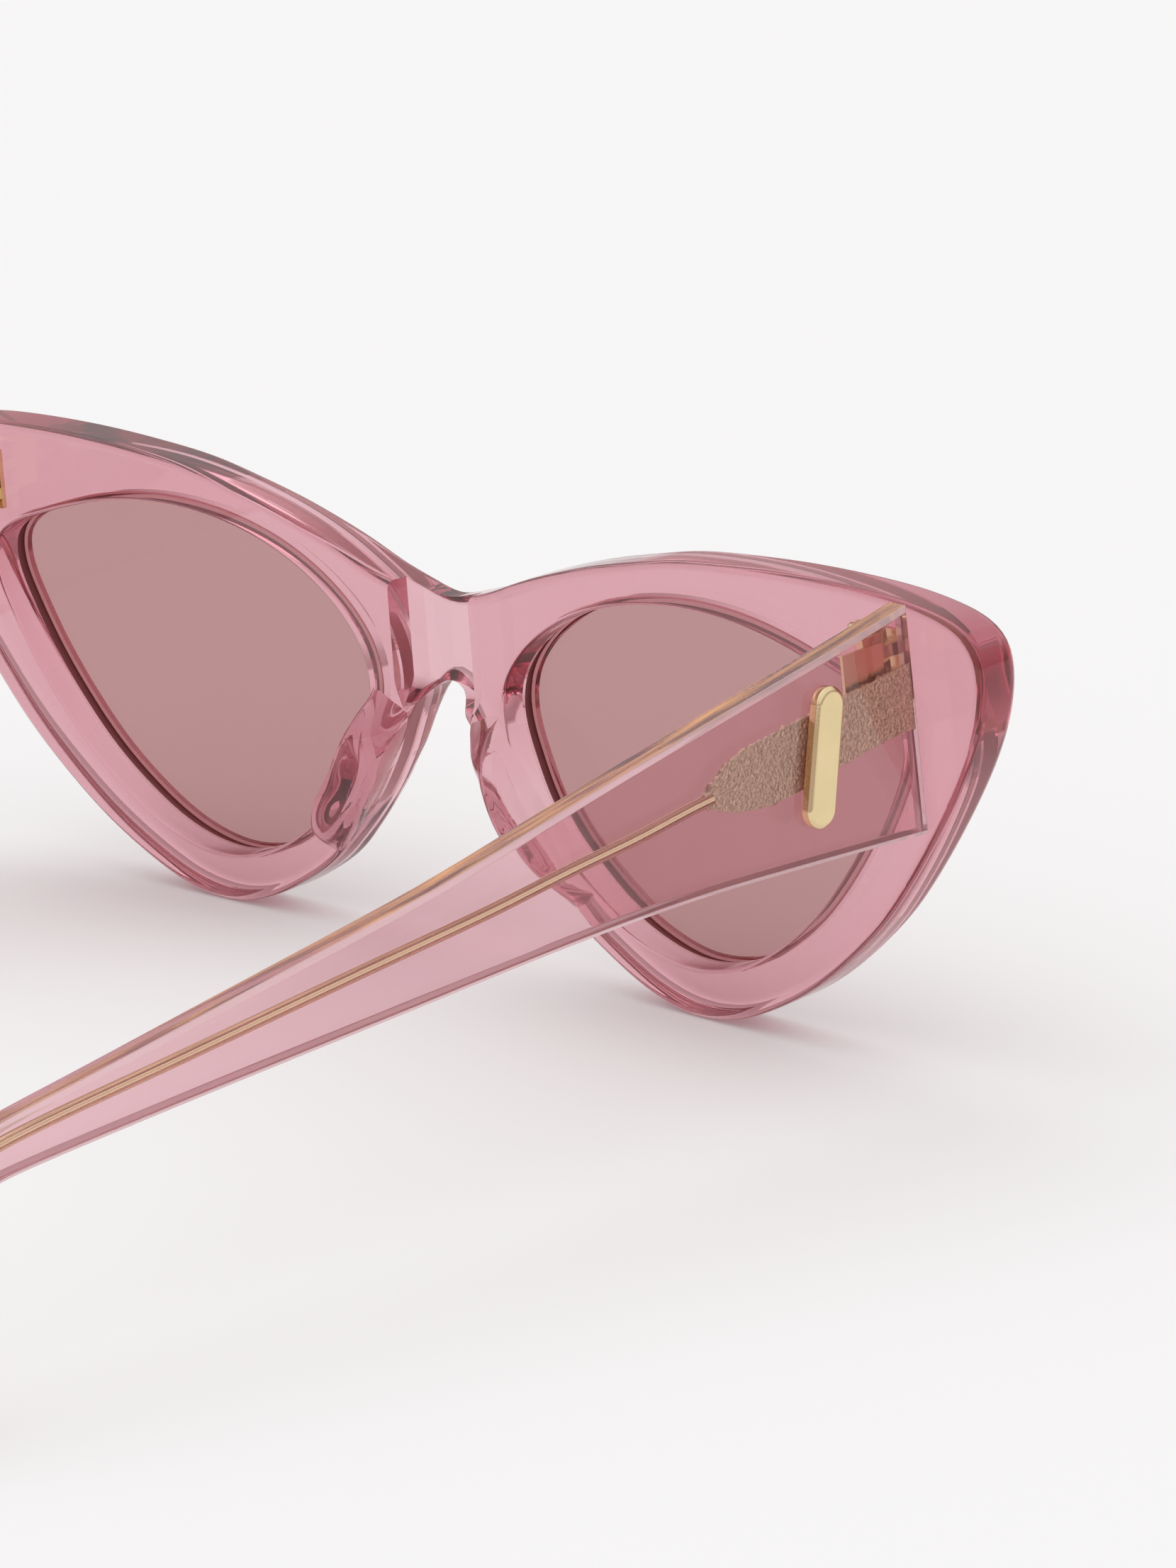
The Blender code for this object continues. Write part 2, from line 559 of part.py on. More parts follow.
# Stand the object on its rims and temple tips, centred on the origin.
root.rotation_euler = (-math.radians(TILT), 0.0, 0.0)
bpy.context.view_layer.update()
graph = bpy.context.evaluated_depsgraph_get()
points = []
for obj in pieces.objects:
    if obj.type == "MESH":
        seen = obj.evaluated_get(graph)
        mesh = seen.to_mesh()
        flat = np.empty(len(mesh.vertices) * 3, np.float32)
        mesh.vertices.foreach_get("co", flat)
        world = np.array(seen.matrix_world)
        points.append(flat.reshape(-1, 3) @ world[:3, :3].T + world[:3, 3])
        seen.to_mesh_clear()
points = np.vstack(points)
low, high = points.min(axis=0), points.max(axis=0)
root.location = (-(low[0] + high[0]) / 2, -(low[1] + high[1]) / 2, -low[2])
bpy.context.view_layer.update()
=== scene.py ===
import json
import math

import bpy
import numpy as np
from mathutils import Matrix, Vector


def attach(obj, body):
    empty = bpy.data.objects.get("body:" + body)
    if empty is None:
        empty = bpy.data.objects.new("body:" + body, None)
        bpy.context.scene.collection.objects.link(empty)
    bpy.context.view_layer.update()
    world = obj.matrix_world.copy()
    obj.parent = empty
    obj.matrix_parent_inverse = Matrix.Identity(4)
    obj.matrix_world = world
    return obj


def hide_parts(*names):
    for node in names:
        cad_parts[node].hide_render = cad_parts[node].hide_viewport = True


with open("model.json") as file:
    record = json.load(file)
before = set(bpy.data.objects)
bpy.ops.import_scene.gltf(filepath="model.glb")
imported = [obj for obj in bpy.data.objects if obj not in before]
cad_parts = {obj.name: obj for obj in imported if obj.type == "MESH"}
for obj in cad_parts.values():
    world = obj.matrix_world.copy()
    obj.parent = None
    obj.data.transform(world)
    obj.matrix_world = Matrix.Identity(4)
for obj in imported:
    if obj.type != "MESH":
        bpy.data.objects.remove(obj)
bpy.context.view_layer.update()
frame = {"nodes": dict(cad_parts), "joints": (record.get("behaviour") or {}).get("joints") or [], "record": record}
bpy.ops.object.select_all(action="DESELECT")


# ---------------------------------------------------------------------------------------------
# The front is one 5.4 mm plate of clear rose acetate. Its outline and lens openings are cut out,
# a groove is run round each opening for the lens, and all outer edges are rounded and polished.
# It is drawn upright in millimetres: u outward, y back toward the wearer and v up.

MM = 0.001
seat = frame["record"]["mounts"][0]
LEAN_BACK = math.atan2(-seat["axis"][2], seat["axis"][1])
turn_back = Matrix.Rotation(-LEAN_BACK, 4, "X")
SEAT = Vector((0.0, -2.3, 10.3))
upright = Matrix.Translation(Vector(seat["pos_m"]) - turn_back @ SEAT * MM) @ turn_back

FRONT_THICK = 5.4
FRONT_BEND = 1100.0
BACK_ROUND = 0.9
FACE_ROUND = 1.5
HALF_OUTLINE = [
    (0.0, 15.0), (3.6, 15.7), (7.6, 16.9), (11.2, 18.3), (15.6, 19.8), (20.8, 21.3), (26.5, 22.6),
    (32.2, 23.7), (38.0, 24.3), (44.0, 24.7), (50.0, 24.9), (55.5, 24.9), (60.6, 24.7), (64.8, 24.2),
    (67.4, 23.6), (69.4, 22.6), (70.6, 21.1), (71.0, 19.0), (70.7, 16.3), (69.8, 13.4), (68.4, 10.4),
    (66.9, 7.8), (65.3, 5.3), (62.8, 1.7), (60.0, -2.0), (57.1, -5.4), (54.1, -8.3), (50.9, -11.0),
    (47.5, -13.5), (44.0, -15.6), (41.0, -17.1), (37.5, -18.5), (33.6, -19.3), (30.0, -19.3),
    (26.7, -18.6), (23.4, -17.3), (20.2, -15.6), (17.2, -13.7), (15.4, -12.2), (13.9, -10.6),
    (12.4, -8.9), (10.7, -6.8), (9.0, -4.6), (7.6, -2.5), (6.3, -0.6), (5.3, 1.2), (4.4, 2.8),
    (3.5, 4.2), (2.5, 5.5), (1.3, 6.5), (0.0, 6.9),
]
OPENING = [
    (9.0, 5.4), (9.5, 8.4), (11.6, 11.5), (15.2, 14.4), (19.9, 16.8), (25.6, 18.5), (32.5, 19.4),
    (40.0, 19.2), (47.0, 17.9), (53.0, 16.1), (56.8, 14.6), (58.9, 12.7), (59.2, 10.4), (57.9, 6.8),
    (55.3, 2.2), (52.1, -2.2), (47.9, -6.8), (43.0, -10.6), (38.2, -13.2), (34.0, -14.4),
    (29.9, -14.6), (25.9, -13.7), (22.0, -12.0), (18.2, -9.5), (14.8, -6.6), (12.0, -3.2), (10.1, 1.0),
]
LENS_BACK = 2.9
LENS_THICK = 1.6
LENS_BITE = 0.5
LENS_PLAY = 0.04
GROOVE_SPARE = 0.12
EASE = 0.4
FACE_EASE = 0.3
STRIP = 3.0
OUTLINE_POINTS, OPENING_POINTS = 400, 220


def flowing(points, count, closed=False):
    """An even run of points along the smooth curve through the given ones."""
    given = np.array(points, float)
    if closed:
        given = np.vstack([given[-3:], given, given[:4]])
    step = np.linalg.norm(np.diff(given, axis=0), axis=1)
    reach = np.concatenate([[0.0], np.cumsum(step)])
    n = len(given)
    system = np.eye(n)
    rhs = np.zeros((n, given.shape[1]))
    slope = np.diff(given, axis=0) / step[:, None]
    for i in range(1, n - 1):
        system[i, i - 1 : i + 2] = (step[i - 1], 2 * (step[i - 1] + step[i]), step[i])
        rhs[i] = 6 * (slope[i] - slope[i - 1])
    bow = np.linalg.solve(system, rhs)
    first, last = (reach[3], reach[-4]) if closed else (reach[0], reach[-1])
    at = np.linspace(first, last, 40 * n)
    i = np.clip(np.searchsorted(reach, at, side="right") - 1, 0, n - 2)
    gap = step[i][:, None]
    left, right = (reach[i + 1] - at)[:, None], (at - reach[i])[:, None]
    fine = (
        bow[i] * left**3 / (6 * gap)
        + bow[i + 1] * right**3 / (6 * gap)
        + (given[i] / gap - bow[i] * gap / 6) * left
        + (given[i + 1] / gap - bow[i + 1] * gap / 6) * right
    )
    run = np.concatenate([[0.0], np.cumsum(np.linalg.norm(np.diff(fine, axis=0), axis=1))])
    stops = np.linspace(0, run[-1], count + 1 if closed else count)
    even = np.stack([np.interp(stops, run, fine[:, k]) for k in range(fine.shape[1])], axis=1)
    return even[:-1] if closed else even


def grown(loop, distance):
    """The closed loop moved outward, or inward where the distance is below zero."""
    edge = np.roll(loop, -1, axis=0) - loop
    edge = edge / np.linalg.norm(edge, axis=1)[:, None]
    normal = np.stack([edge[:, 1], -edge[:, 0]], axis=1)
    before = np.roll(normal, 1, axis=0)
    mitre = (normal + before) / (1 + np.sum(normal * before, axis=1))[:, None]
    area = np.sum(loop[:, 0] * np.roll(loop[:, 1], -1) - np.roll(loop[:, 0], -1) * loop[:, 1])
    return loop + mitre * distance * (1.0 if area > 0 else -1.0)


def tidy_mesh(piece, merge=1e-4):
    """Merges doubled points and turns every face outward."""
    bpy.context.view_layer.objects.active = piece
    piece.select_set(True)
    bpy.ops.object.mode_set(mode="EDIT")
    bpy.ops.mesh.select_all(action="SELECT")
    bpy.ops.mesh.remove_doubles(threshold=merge)
    bpy.ops.mesh.normals_make_consistent(inside=False)
    bpy.ops.object.mode_set(mode="OBJECT")
    piece.select_set(False)


def rolled(name, loops):
    """A flat grid of faces rolled into a skin through these loops, with both ends filled."""
    loops = np.array(loops, float)
    rows, round_count = loops.shape[:2]
    bpy.ops.mesh.primitive_grid_add(x_subdivisions=round_count, y_subdivisions=rows - 1, size=2.0)
    piece = bpy.context.object
    piece.name = piece.data.name = name
    for point in piece.data.vertices:
        i = round((point.co.x + 1) / 2 * round_count)
        j = round((point.co.y + 1) / 2 * (rows - 1))
        point.co = loops[j, i % round_count]
    bpy.ops.object.mode_set(mode="EDIT")
    bpy.ops.mesh.select_all(action="SELECT")
    bpy.ops.mesh.remove_doubles(threshold=1e-5)
    bpy.ops.mesh.fill_holes(sides=0)
    bpy.ops.object.mode_set(mode="OBJECT")
    piece.select_set(False)
    tidy_mesh(piece, 1e-5)
    return piece


def worked(piece, kind, **settings):
    """Adds one modifier to the piece and applies it."""
    step = piece.modifiers.new(kind.lower(), kind)
    for key, value in settings.items():
        setattr(step, key, value)
    bpy.context.view_layer.objects.active = piece
    bpy.ops.object.modifier_apply(modifier=step.name)
    return piece


def cut(piece, cutter, operation="DIFFERENCE"):
    """Cuts the piece with another solid, or joins the two, and throws the tool away."""
    worked(piece, "BOOLEAN", object=cutter, operation=operation, solver="EXACT")
    bpy.data.objects.remove(cutter, do_unlink=True)


def bent_to_face(piece, every):
    """Slices a flat piece into upright strips and bends it to the slow curve of the front."""
    low = min(point.co.x for point in piece.data.vertices)
    high = max(point.co.x for point in piece.data.vertices)
    bpy.context.view_layer.objects.active = piece
    bpy.ops.object.mode_set(mode="EDIT")
    for x in np.arange(math.ceil(low / every) * every, high, every):
        bpy.ops.mesh.select_all(action="SELECT")
        bpy.ops.mesh.bisect(plane_co=(x, 0.0, 0.0), plane_no=(1.0, 0.0, 0.0), threshold=1e-4)
    bpy.ops.object.mode_set(mode="OBJECT")
    for point in piece.data.vertices:
        point.co.y += point.co.x**2 / (2 * FRONT_BEND)


def polished(piece, angle=32.0):
    """Smooth shading with crisp edges where faces meet at more than this angle."""
    bpy.context.view_layer.objects.active = piece
    piece.select_set(True)
    bpy.ops.object.shade_smooth_by_angle(angle=math.radians(angle))
    piece.select_set(False)
    worked(piece, "WEIGHTED_NORMAL", mode="FACE_AREA", weight=50, keep_sharp=True)


def placed(piece, matrix, body, *nodes):
    """Puts a piece drawn in millimetres in its place on a body, in the stead of these solids."""
    piece.data.transform(matrix @ Matrix.Scale(MM, 4))
    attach(piece, body)
    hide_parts(*nodes)
    return piece


def rounding(radius, steps=6):
    """(distance in from the edge, depth below the face) round a quarter circle."""
    angles = [math.pi / 2 * k / steps for k in range(steps + 1)]
    return [(radius * (1 - math.sin(a)), radius * (1 - math.cos(a))) for a in angles]


other_half = [(-u, v) for u, v in HALF_OUTLINE[-2:0:-1]]
outline = flowing(HALF_OUTLINE + other_half, OUTLINE_POINTS, closed=True)
loops = [[(u, -depth, v) for u, v in grown(outline, -inset)] for inset, depth in rounding(BACK_ROUND)]
for inset, depth in rounding(FACE_ROUND, 8)[::-1]:
    loops.append([(u, -FRONT_THICK + depth, v) for u, v in grown(outline, -inset)])
front = rolled("front_acetate", loops)

opening = flowing(OPENING, OPENING_POINTS, closed=True)
groove_back = -LENS_BACK + LENS_PLAY
groove_face = -LENS_BACK - LENS_THICK - LENS_PLAY
groove_deep = LENS_BITE + GROOVE_SPARE
wall = [(1.0, EASE + 2.0), (0.0, EASE)]
wall += [(-depth, inset) for inset, depth in rounding(EASE)[1:]]
wall += [(groove_back, 0.0), (groove_back, groove_deep), (groove_face, groove_deep), (groove_face, 0.0)]
wall += [(-FRONT_THICK + FACE_EASE, 0.0), (-FRONT_THICK, FACE_EASE), (-FRONT_THICK - 1.0, 1.8)]
for sign in (-1.0, 1.0):
    rows = [[(sign * u, y, v) for u, v in grown(opening, away)] for y, away in wall]
    cut(front, rolled("opening_cutter", rows))

# The bridge is milled thin from behind, which leaves a flat floor and a steep step at each side.
# At its lower end the floor ramps up to the full thickness of the rims.
BRIDGE_CUT = 2.3
BRIDGE_HALF = 5.1
RAMP_LOW, RAMP_TALL, RAMP_RISE, RAMP_NARROW, RAMP_STEPS = 3.4, 3.4, 2.4, 0.7, 12
CUTTER_FLARE, CUTTER_BACK, CUTTER_TOP = 0.8, 5.4, 22.0
rows = []
for k in range(RAMP_STEPS + 1):
    ramp = (1.0 + math.cos(math.pi * k / RAMP_STEPS)) / 2
    half = BRIDGE_HALF - RAMP_NARROW * ramp
    wide = half + CUTTER_FLARE
    floor = -BRIDGE_CUT + RAMP_RISE * ramp
    v = RAMP_LOW + RAMP_TALL * k / RAMP_STEPS
    rows.append([(-half, floor, v), (half, floor, v), (wide, CUTTER_BACK, v), (-wide, CUTTER_BACK, v)])
rows.append([(x, y, CUTTER_TOP) for x, y, z in rows[-1]])
cut(front, rolled("bridge_cutter", rows))


# ---------------------------------------------------------------------------------------------
# The nose pads are two blocks of the same acetate, bonded to the nasal side of each rim and
# polished into it, so that no seam shows: a long ridge, bevelled on the side toward the nose.

# Along the crest of a pad: u, v, how far the crest stands behind the rim, and how far the bevel
# does where it meets the edge of the rim.
PAD_CREST = [
    (7.3, 5.3, -0.1, -0.5), (7.7, 4.1, 1.0, 0.6), (8.2, 3.0, 2.1, 1.3), (8.8, 1.6, 3.2, 1.75),
    (9.6, -0.2, 3.9, 1.9), (10.8, -2.7, 4.25, 1.9), (13.0, -5.8, 4.15, 1.5), (15.3, -8.8, 2.7, 0.9),
    (16.5, -10.0, 1.3, 0.3), (17.3, -10.8, -0.2, -0.8),
]
PAD_STEPS = 60
PAD_ROUND = 34
PAD_ROOT = -1.6
PAD_INSET = 0.15
pad_crest = flowing(PAD_CREST, PAD_STEPS + 1)
pad_heading = np.gradient(pad_crest[:, :2], axis=0)
pad_heading /= np.linalg.norm(pad_heading, axis=1)[:, None]
rows = []
for (u, v, high, edge), (hu, hv) in zip(pad_crest, pad_heading):
    reach = np.min(np.linalg.norm(outline - (u, v), axis=1)) - PAD_INSET
    lens_side = [(1.0, -0.4), (0.97, 0.45 * high), (0.75, 0.84 * high)]
    crest = [(0.2, high), (-0.45, 0.95 * high)]
    bevel = [(-0.2 - reach * 0.45, 0.5 * high + 0.5 * edge), (0.4 - reach, edge)]
    nose_side = [(0.06 - reach, edge - 0.35), (-reach, -1.2)]
    section = flowing(lens_side + crest + bevel + nose_side, PAD_ROUND)
    row = [(u - hv * across, y, v + hu * across) for across, y in section]
    row += [(u - hv * across, PAD_ROOT, v + hu * across) for across in (0.3 - reach, -0.8, 0.8)]
    rows.append(row)
for sign in (-1.0, 1.0):
    cut(front, rolled("pad_block", [[(sign * x, y, z) for x, y, z in row] for row in rows]), "UNION")

bent_to_face(front, STRIP)
tidy_mesh(front, 1e-3)
polished(front)
placed(front, upright, "front", "front_frame", "nose_pad_left", "nose_pad_right")


class Wire:
    """The output of a shader node. Sums on it are written as ordinary maths."""

    def __init__(self, tree, socket=None):
        self.tree = tree
        self.socket = socket

    def node(self, kind, settings=None, values=None, output=0):
        made = self.tree.nodes.new(kind)
        for key, value in (settings or {}).items():
            if key == "stops":
                ramp = made.color_ramp
                while len(ramp.elements) < len(value):
                    ramp.elements.new(0.5)
                for element, (place, colour) in zip(ramp.elements, value):
                    element.position = place
                    element.color = (*colour, 1.0)
            else:
                setattr(made, key, value)
        for key, value in (values or {}).items():
            if isinstance(value, Wire):
                self.tree.links.new(value.socket, made.inputs[key])
            else:
                made.inputs[key].default_value = value
        return Wire(self.tree, made.outputs[output]) if made.outputs else None

    def maths(self, operation, a, b=0.0):
        return self.node("ShaderNodeMath", {"operation": operation}, {0: a, 1: b})

    def __add__(self, other):
        return self.maths("ADD", self, other)

    def __sub__(self, other):
        return self.maths("SUBTRACT", self, other)

    def __rsub__(self, other):
        return self.maths("SUBTRACT", other, self)

    def __mul__(self, other):
        return self.maths("MULTIPLY", self, other)

    __radd__ = __add__
    __rmul__ = __mul__


def new_material(name):
    made = bpy.data.materials.new(name)
    made.use_nodes = True
    made.node_tree.nodes.clear()
    return made, Wire(made.node_tree)


def noise(wire, place, scale, detail=2.0, rough=0.5):
    return wire.node(
        "ShaderNodeTexNoise", None, {"Vector": place, "Scale": scale, "Detail": detail, "Roughness": rough}
    )


def mixed(wire, share, first, second):
    """A colour between two, by the share of the second."""
    return wire.node("ShaderNodeMix", {"data_type": "RGBA"}, {0: share, 6: first, 7: second}, 2)


def stretched(wire, place, x, y, z):
    return wire.node("ShaderNodeMapping", None, {"Vector": place, "Scale": (x, y, z)})


def over(wire, share, first, second):
    """One finish laid over another, by the share of the second."""
    return wire.node("ShaderNodeMixShader", None, {0: share, 1: first, 2: second})


def shift(wire, x, y, z):
    """The place on the piece, moved so that left and right don't show the same pattern."""
    place = wire.node("ShaderNodeTexCoord", output=3)
    return wire.node("ShaderNodeMapping", None, {"Vector": place, "Location": (x, y, z)})


def coated(wire, values):
    """The shader that a finish is put into."""
    return wire.node("ShaderNodeBsdfPrincipled", None, values)


def two_tone(wire, share, colour, darker):
    """A colour that falls off to a darker one by a share."""
    return mixed(wire, share, (*(c * darker for c in colour), 1.0), (*colour, 1.0))


# Stops are absorption per metre in red, green and blue: pale across a thin wall, deep red along
# a thick one. Pale and deep are the dye at the surface, satin is what a file leaves, and shade is
# the colour of the light that the piece lets through to the table.
ROSE = {
    "stops": (36.0, 108.0, 92.0),
    "pale": (0.96, 0.80, 0.82),
    "deep": (0.94, 0.74, 0.765),
    "satin": (0.90, 0.66, 0.68),
    "shade": (0.72, 0.745, 0.735),
    "index": 1.49,
    "clear": 0.97,
}
# Orange of the painted reflection of the gold core wire on the top edges of the temples.
PAINTED_WIRE_GLINT = (0.86, 0.40, 0.16)


def clear_plastic(name, at, stops, pale, deep, satin, shade, index, clear):
    """Clear dyed plastic: the colour is in the depth, sawn or filed faces stay satin, and faces marked for it get
    a painted reflection of the gold core wire in long orange streaks.
    """
    made, wire = new_material(name)
    place = shift(wire, *at)
    cloud = noise(wire, place, 70.0, 3.0)
    polish = noise(wire, place, 420.0, 3.0, 0.6)
    hairs = noise(wire, stretched(wire, place, 1.0, 1.0, 9.0), 900.0, 2.0)
    wave = noise(wire, place, 160.0, 1.0)
    height = wave + polish * 0.12
    lift = wire.node("ShaderNodeBump", None, {"Strength": 0.05, "Distance": 0.00012, "Height": height})
    bright = {
        "Base Color": mixed(wire, cloud, (*pale, 1.0), (*deep, 1.0)),
        "Roughness": polish * 0.03 + hairs * 0.012,
        "IOR": index,
        "Transmission Weight": clear,
        "Normal": lift,
    }
    filed = {"Base Color": two_tone(wire, 1 - cloud, satin, 0.9), "Roughness": polish * 0.2 + 0.3}
    ground = wire.node("ShaderNodeAttribute", {"attribute_name": "ground"}, output=2)
    finish = over(wire, ground, coated(wire, bright), coated(wire, filed))
    # Painted reflection: long orange streaks are painted into the colour of the top edge of a temple, standing in
    # for the gold core wire's reflection seen through that edge.
    glint_streaks = noise(wire, stretched(wire, place, 1.0, 0.05, 0.3), 1400.0, 3.0)
    warm = {"Base Color": two_tone(wire, glint_streaks, PAINTED_WIRE_GLINT, 0.6), "Roughness": polish * 0.2 + 0.2}
    edge = wire.node("ShaderNodeAttribute", {"attribute_name": "warm"}, output=2)
    finish = over(wire, edge * (glint_streaks * 2.6 - 0.95), finish, coated(wire, warm))
    lets_through = wire.node("ShaderNodeBsdfTransparent", None, {"Color": (*shade, 1.0)})
    in_shadow = wire.node("ShaderNodeLightPath", output=1)
    surface = over(wire, in_shadow, finish, lets_through)
    density = max(stops) * 1.02
    depth = wire.node(
        "ShaderNodeVolumeAbsorption",
        None,
        {"Color": (*(1.0 - stop / density for stop in stops), 1.0), "Density": density},
    )
    wire.node("ShaderNodeOutputMaterial", None, {"Surface": surface, "Volume": depth})
    return made


front.data.materials.clear()
front.data.materials.append(clear_plastic("rose_acetate_front", (0.0, 0.0, 0.0), **ROSE))


# ---------------------------------------------------------------------------------------------
# Each lens is a 1.6 mm sheet of tinted plastic, cut to the opening, with a fine chamfer round its
# rim, and sprung into the groove of its rim.

TINT = {
    "stops": (300.0, 560.0, 555.0),
    "pale": (1.0, 0.99, 0.99),
    "deep": (0.99, 0.97, 0.97),
    "satin": (0.74, 0.42, 0.43),
    "shade": (0.84, 0.86, 0.86),
    "index": 1.15,
    "clear": 1.0,
}
CHAMFER = 0.12
rim = grown(opening, LENS_BITE)


def marked(piece, finish, share_of):
    """Writes on each face how much of a finish it has, from the way the face looks."""
    marks = piece.data.attributes.new(finish, "FLOAT", "FACE")
    for face in piece.data.polygons:
        marks.data[face.index].value = share_of(face.normal)


for side, sign in (("right", -1.0), ("left", 1.0)):
    rows = []
    for inset, depth in (
        (CHAMFER, 0.0), (0.0, CHAMFER), (0.0, LENS_THICK - CHAMFER), (CHAMFER, LENS_THICK),
    ):
        rows.append([(sign * u, -LENS_BACK - depth, v) for u, v in grown(rim, -inset)])
    lens = rolled("tinted_lens_" + side, rows)
    bent_to_face(lens, STRIP)
    marked(lens, "ground", lambda looks: 1.0 if abs(looks.y) < 0.9 else 0.0)
    polished(lens)
    placed(lens, upright, "front", "lens_" + side)
    lens.data.materials.append(clear_plastic("lens_tint_" + side, (0.1, 0.1 * sign, 0.2), **TINT))


# ---------------------------------------------------------------------------------------------
# The hinges are gold plated barrel hinges of five knuckles. One leaf is sunk in the back of the
# front, the other in the inner face of the temple, and a slotted screw runs down through both.


def gold(name, at, colour, rough, brushed=0.0, stippled=False):
    """Gold plate: polished, with faint wear and brush lines, or stippled with a coarse grain whose pits carry
    painted shade and whose raised points carry painted sparkle.
    """
    made, wire = new_material(name)
    place = shift(wire, *at)
    wear = noise(wire, place, 260.0, 4.0, 0.6)
    grain = noise(wire, place, 3600.0, 3.0, 0.65)
    lines = noise(wire, stretched(wire, place, 1.0, 0.04, 1.0), 5200.0, 2.0)
    if stippled:
        # The stippled colour follows the grain that also sets the bump: painted shade in the low pits and painted
        # sparkle on the raised points.
        deepest, lightest, strength, distance = 0.60, 1.45, 0.7, 0.00022
        share = grain * 2.6 - 0.8
    else:
        deepest, lightest, strength, distance = 0.80, 1.06, 0.06, 0.00008
        share = wear * 0.6 + grain * 0.2
    dark = tuple(c * deepest for c in colour)
    light = tuple(min(1.0, c * lightest) for c in colour)
    height = grain + lines * brushed
    lift = wire.node("ShaderNodeBump", None, {"Strength": strength, "Distance": distance, "Height": height})
    plate = {
        "Base Color": mixed(wire, share, (*dark, 1.0), (*light, 1.0)),
        "Metallic": 1.0,
        "Roughness": wear * 0.10 + lines * 0.06 * brushed + rough,
        "Normal": lift,
    }
    wire.node("ShaderNodeOutputMaterial", None, {"Surface": coated(wire, plate)})
    return made


GOLD = (0.88, 0.71, 0.41)
HINGE_ROUND = 0.09
LEAF_PROUD = 0.05


def eased(piece, width, angle):
    """Rounds every edge where two faces meet at more than the angle."""
    worked(piece, "BEVEL", width=width, segments=2, limit_method="ANGLE", angle_limit=math.radians(angle))


def worked_copy(node, name):
    """A copy of a solid of the model with its loose faces merged, drawn again in millimetres."""
    piece = frame["nodes"][node].copy()
    piece.data = piece.data.copy()
    piece.parent = None
    piece.name = piece.data.name = name
    for key in list(piece.keys()):
        del piece[key]
    piece.data.materials.clear()
    bpy.context.scene.collection.objects.link(piece)
    piece.data.transform(Matrix.Scale(1.0 / MM, 4))
    bpy.context.view_layer.objects.active = piece
    piece.select_set(True)
    bpy.ops.object.mode_set(mode="EDIT")
    bpy.ops.mesh.select_all(action="SELECT")
    bpy.ops.mesh.remove_doubles(threshold=2e-3)
    bpy.ops.mesh.dissolve_limited(angle_limit=math.radians(1.5))
    bpy.ops.object.mode_set(mode="OBJECT")
    piece.select_set(False)
    return piece


for side, sign in (("right", -1.0), ("left", 1.0)):
    for node, name, body, proud in (
        ("hinge_leaf_", "front_hinge_leaf_", "front", (0.0, 1.0, 0.0)),
        ("temple_leaf_", "temple_hinge_leaf_", "temple_arm_" + side, (-sign, 0.0, 0.0)),
        ("hinge_screw_", "hinge_pin_", "front", None),
    ):
        piece = worked_copy(node + side, name + side)
        eased(piece, HINGE_ROUND, 40.0)
        if proud:
            piece.data.transform(Matrix.Translation(Vector(proud) * LEAF_PROUD))
        polished(piece)
        placed(piece, Matrix.Identity(4), body, node + side)
        finish = gold("hinge_gold_" + name + side, (0.3, 0.1 * sign, 0.2), GOLD, 0.16, brushed=0.3)
        piece.data.materials.append(finish)


# ---------------------------------------------------------------------------------------------
# Each temple is cut from a 3 mm sheet of the same acetate, wide at the butt and slim behind the
# ear. Both faces are flat, the edge is polished, and a narrow flat chamfer runs all round.

TEMPLE_LONG = 136.2
DRAWN_LONG = 136.8
TEMPLE_THICK = 3.0
TEMPLE_IN = 1.6
TEMPLE_EDGE = 0.45
EDGE_ROUND = 0.07
BUTT_GAP = 0.3
BUTT_DEEP = 1.5
BODY_LEAN = 3.0
CHAMFER_SATIN, BUTT_SATIN, BOTTOM_SATIN = 0.45, 0.3, 0.12
EDGE_POINTS, TIP_POINTS = 110, 14
TEMPLE_TOP = [
    (2.0, 24.5), (9.5, 23.2), (15.8, 22.2), (24.8, 20.8), (33.6, 19.4), (50.8, 16.5), (59.2, 15.1),
    (67.5, 14.0), (83.5, 12.1), (103.0, 9.8), (110.5, 8.8), (116.3, 7.2), (121.3, 4.3), (126.2, 0.3),
    (131.3, -4.2), (135.0, -7.5), (136.8, -9.4),
]
TEMPLE_TIP = [(136.8, -9.4), (136.5, -10.94), (134.8, -11.64), (132.4, -11.17)]
TEMPLE_BOTTOM = [
    (132.4, -11.17), (129.2, -9.0), (125.2, -5.3), (121.4, -1.8), (117.6, 1.4), (113.0, 3.7), (106.1, 4.6),
    (97.0, 4.9), (79.0, 5.3), (63.0, 5.6), (46.5, 5.9), (38.0, 5.9), (29.5, 5.7), (20.8, 5.2), (12.0, 4.6),
    (2.0, 3.9),
]
pins = {joint["name"]: joint for joint in frame["joints"]}
pin = upright.inverted() @ Vector(pins["fold_left"]["pos_m"]) / MM
axis_u = pin.x
square_to_face = math.asin(axis_u / FRONT_BEND)
butt_y = (axis_u + TEMPLE_IN) ** 2 / (2 * FRONT_BEND) + BUTT_GAP - pin.y


def from_pin(points):
    """Points measured from the hinge pin, y back and v up."""
    return np.array(points) * (TEMPLE_LONG / DRAWN_LONG, 1.0) - (pin.y, pin.z)


